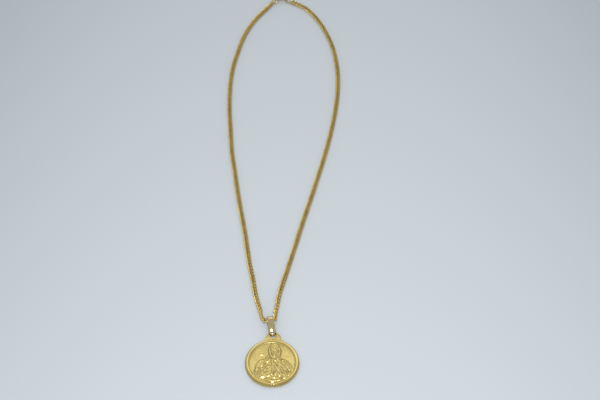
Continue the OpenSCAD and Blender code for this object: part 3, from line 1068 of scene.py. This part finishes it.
@dataclass(frozen=True)
class Route:
    """The line that the chain follows: a smooth curve through points in millimetres.

    The turns say how far it is turned on edge there: a point's number, and degrees.
    """

    points: tuple[Point, ...]
    turns: tuple[Pair, ...]
    fineness: int = 50

    @cache
    def line(self) -> np.ndarray:
        """Returns close points along the curve."""
        p = np.array(self.points, float)
        span = np.linalg.norm(np.diff(p, axis=0), axis=1)[:, None]
        slope = np.vstack([
            (p[1] - p[0]) / span[0],
            (p[2:] - p[:-2]) / (span[:-1] + span[1:]),
            (p[-1] - p[-2]) / span[-1],
        ])
        t = np.linspace(0, 1, self.fineness, endpoint=False)[None, :, None]
        a, b = p[:-1, None], p[1:, None]
        da, db, h = slope[:-1, None], slope[1:, None], span[:, None]
        curve = (2 * t**3 - 3 * t**2 + 1) * a + (t**3 - 2 * t**2 + t) * h * da
        curve = curve + (3 * t**2 - 2 * t**3) * b + (t**3 - t**2) * h * db
        return np.vstack([curve.reshape(-1, 3), p[-1:]])

    @cache
    def run(self) -> np.ndarray:
        """Returns the distance from the start to each of the curve's close points, in millimetres."""
        return np.concatenate([[0], np.cumsum(np.linalg.norm(np.diff(self.line(), axis=0), axis=1))])

    def walk(self, distances: np.ndarray) -> np.ndarray:
        """Returns the points that lie at given distances along the curve."""
        return np.column_stack([np.interp(distances, self.run(), level) for level in self.line().T])

    def rolls(self, distances: np.ndarray) -> np.ndarray:
        """Returns how far the chain is turned on edge at given distances, in degrees."""
        number = np.interp(distances, self.run(), np.arange(len(self.line())) / self.fineness)
        return np.interp(number, *zip(*self.turns))


CHAIN_ROUTE = Route(
    points=(
        (-6.7, 116.05, 0.92), (-7.3, 115.4, 0.95), (-16, 103, 0.78), (-21.15, 92, 0.76),
        (-24.65, 79, 0.75), (-27.2, 65.5, 0.75), (-28, 52, 0.75), (-27.85, 38, 0.75),
        (-26.8, 24, 0.75), (-25.75, 10, 0.75), (-23.75, -4, 0.75), (-21.7, -18, 0.75),
        (-19.4, -32, 0.75), (-17.68, -41.5, 0.75), (-17.1, -46, 0.75), (-15, -60, 0.76),
        (-13.71, -66, 0.8), (-12.6, -73, 0.94), (-11.5, -78.5, 1.1), (-10.08, -83.5, 1.26),
        (-9.35, -86.6, 1.43), (-8.9, -88.4, 1.63), (-8.35, -89.65, 1.86), (-7.55, -90.52, 2.11),
        (-6.45, -90.8, 2.2), (-5.25, -90.6, 2.2), (-4.18, -90.42, 2.2), (-3.44, -90.16, 2.2),
        (-3, -89.58, 2.13), (-2.9, -88.8, 2.01), (-2.86, -87, 1.75), (-2.4, -84, 1.45),
        (-1, -75, 1), (2.4, -62, 0.79), (5.95, -48.5, 0.76), (9.4, -35, 0.75),
        (12.95, -22, 0.75), (16.5, -8.5, 0.75), (19.95, 5, 0.75), (23, 18.5, 0.75),
        (25.5, 32, 0.75), (27.35, 46, 0.75), (28, 60, 0.75), (27.15, 73, 0.75),
        (24.45, 86.5, 0.76), (19.05, 100.5, 0.78), (12, 111.3, 0.8), (4.5, 116.35, 1.05),
        (3.46, 116.6, 1.14),
    ),
    turns=(
        (16, 0), (17, 25), (18, 41), (20, 50), (21, 58), (22, 72), (23, 85),
        (24, 90), (27, 90), (29, 76), (30, 66), (31, 60), (32, 30), (32.5, 0),
    ),
)


@dataclass
class CurbChain:
    """The fine curb chain: one twisted link, repeated along the route so that each holds the next.

    The settled links lie a little off the route, where it bends or starts: a link's number, its moves along,
    across and up in millimetres, then its turns on edge and sideways in degrees.
    """

    route: Route
    half_length: float = 1.35
    half_width: float = 1.0
    wire: float = 0.35
    twist: float = 56
    pitch: float = 1.75
    steps: int = 12
    sides: int = 6
    first_hook: float = 0.66
    last_hook: float = 0.62
    settled: tuple[tuple[float, ...], ...] = (
        (0, -0.11, -0.13, 0.31, 34, 9), (1, -0.07, 0.02, 0.01, 4, -4), (115, 0, 0.01, 0, 0, 1),
        (117, -0.01, 0, 0.01, 2, 0), (118, -0.01, 0.02, 0.03, 11, 0), (119, -0.03, 0, 0.04, 19, -3),
        (120, -0.07, -0.05, 0.04, 19, 1), (121, -0.04, -0.01, -0.01, 11, 6),
        (122, 0.04, -0.05, -0.11, -7, 10), (123, 0.01, -0.01, 0.09, -10, 6),
        (124, 0.01, 0.02, -0.03, -7, 5), (125, -0.01, -0.06, 0.01, -2, 8), (130, 0, 0, 0, 1, 1),
        (249, 0.02, -0.01, 0.02, 2, -5),
    )

    def link(self) -> Piece:
        """Returns one link: a wire ring drawn out, then twisted along its length."""
        Bench.clear()
        bpy.ops.mesh.primitive_torus_add(
            major_segments=self.steps, minor_segments=self.sides, major_radius=self.half_width,
            minor_radius=self.wire,
        )
        link = bpy.context.object
        draw = self.half_length - self.half_width
        for side in (-1, 1):
            Bench.pick(link, Bench.spots(link)[:, 0] * side > NEAR)
            with Bench.editing(link):
                bpy.ops.transform.translate(value=(side * draw, 0, 0))
        share = (self.half_length + self.wire) / self.half_length
        Bench.modify(
            link, "SIMPLE_DEFORM", deform_method="TWIST", deform_axis="X",
            angle=math.radians(2 * self.twist * share),
        )
        return link

    def frames(self) -> list[Matrix]:
        """Returns each link's place along the route, level with the table."""
        run = self.route.run()[-1] - self.first_hook - self.last_hook
        count = round(run / self.pitch) + 1
        middles = self.first_hook + np.arange(count) * run / (count - 1)
        here, before, after = (self.route.walk(middles + side * self.pitch) for side in (0, -0.5, 0.5))
        rolls = self.route.rolls(middles)
        made = []
        for spot, low, high, roll in zip(here, before, after, rolls):
            along = Vector(high - low).normalized()
            across = Vector((0, 0, 1)).cross(along).normalized()
            up = along.cross(across)
            turn = Matrix((along, across, up)).transposed().to_4x4()
            made.append(placed(*spot) @ turn @ turned(roll, "X"))
        for number, along, across, up, roll, yaw in self.settled:
            made[number] = made[number] @ placed(along, across, up) @ turned(yaw, "Z") @ turned(roll, "X")
        return made

    def build(self) -> None:
        """Builds the chain."""
        pattern = self.link()
        links = []
        for place in self.frames():
            link = pattern.copy()
            link.data = pattern.data.copy()
            link.data.transform(place)
            bpy.context.collection.objects.link(link)
            links.append(link)
        bpy.data.objects.remove(pattern)
        chain = Bench.join("chain_links", links)
        Bench.smooth(chain, angle=80)
        Bench.deliver(chain, placed(0, 0), CHAIN_GOLD, "chain", "chain_gold")


@dataclass(frozen=True)
class Softbox:
    """A square white studio lamp."""

    name: str
    at: Point
    aim: Point
    size: float
    power: float

    def hang(self) -> None:
        """Hangs the lamp and aims it."""
        lamp = bpy.data.lights.new(self.name, "AREA")
        lamp.shape = "SQUARE"
        lamp.size = self.size
        lamp.energy = self.power
        holder = bpy.data.objects.new(self.name, lamp)
        holder.location = self.at
        holder.rotation_euler = (Vector(self.aim) - Vector(self.at)).to_track_quat("-Z", "Y").to_euler()
        bpy.context.collection.objects.link(holder)


@dataclass
class Studio:
    """The pale table, the soft light and the camera at the photograph's angle.

    The table is painted darker away from its middle, as painted light falloff: with the square of the way to
    either side of its middle, and evenly from front to back.
    """

    table_colour: Colour = (0.755, 0.815, 0.87)
    table_roughness: float = 0.55
    table_z: float = -0.00003
    table_middle: float = 0.008
    table_front: float = -0.13
    # painted light falloff: how much darker the table is painted to either side and towards the back, and its
    # least and most
    painted_falloff_aside: float = 5.3
    painted_falloff_back: float = 0.6
    painted_falloff_least: float = 0.01
    painted_falloff_most: float = 0.35
    cloud: Pattern = Pattern(900, 4)
    cloud_shade: float = 0.03
    world_colour: Colour = (0.97, 0.99, 1.0)
    world_strength: float = 0.5
    camera_at: Point = (0.00819, -0.40189, 0.48695)
    camera_tilt: float = 38.07
    lens: float = 76.8
    lamps: tuple[Softbox, ...] = (
        Softbox("back", (0, 1.0, 1.25), (0, -0.1, 0), 1.0, 2.1),
        Softbox("key", (0.03, -0.43, 0.87), (0, -0.09, 0), 0.2, 3.1),
    )

    def table(self) -> None:
        """Lays the table top."""
        Bench.clear()
        bpy.ops.mesh.primitive_plane_add(size=6, location=(0, 0, self.table_z))
        top = bpy.context.object
        top.name = "table_top"
        recipe = Recipe("table_top")
        own = recipe.mapped()
        aside = recipe.part(own, "X") - self.table_middle
        back = recipe.part(own, "Y") - self.table_front
        # painted light falloff: darker to either side and towards the back, capped
        shade = aside * aside * self.painted_falloff_aside + back.clamped() * self.painted_falloff_back
        shade = shade + (recipe.noise(self.cloud) - 0.5) * self.cloud_shade + self.painted_falloff_least
        colour = recipe.blend(shade.capped(self.painted_falloff_most).clamped(), self.table_colour, (0, 0, 0))
        recipe.shader({"Base Color": colour, "Roughness": self.table_roughness})
        top.data.materials.append(recipe.material)

    def light(self) -> None:
        """Sets the surroundings and hangs the lamps."""
        world = bpy.data.worlds.new("surroundings")
        world.use_nodes = True
        background = world.node_tree.nodes["Background"]
        background.inputs["Color"].default_value = (*self.world_colour, 1)
        background.inputs["Strength"].default_value = self.world_strength
        bpy.context.scene.world = world
        for lamp in self.lamps:
            lamp.hang()

    def camera(self) -> None:
        """Sets up the camera."""
        data = bpy.data.cameras.new("camera")
        data.lens = self.lens
        data.sensor_width = 36
        data.clip_start = 0.01
        data.clip_end = 20
        holder = bpy.data.objects.new("camera", data)
        holder.location = self.camera_at
        holder.rotation_euler = (math.radians(self.camera_tilt), 0, 0)
        bpy.context.collection.objects.link(holder)
        bpy.context.scene.camera = holder

    def build(self) -> None:
        """Sets up the whole studio."""
        bpy.context.scene.view_settings.view_transform = "Standard"
        self.camera()
        self.table()
        self.light()


def main() -> None:
    """Builds the necklace piece by piece."""
    logging.basicConfig(level=logging.INFO, format="%(name)s: %(message)s")
    Studio().build()
    medal = Medal()
    medal.build()
    Bail(medal.hole()).build()
    BoltRing().build()
    Ring("jump_ring_wire", "jump_ring", at=(-5.73, 117.01), face=207, lean=-56, radius=1.5, wire=0.28).build()
    Ring("end_ring_wire", "end_ring", at=(2.36, 118.5), face=-40, lean=36, radius=2.3, wire=0.33).build()
    CurbChain(CHAIN_ROUTE).build()


if __name__ == "__main__":
    main()
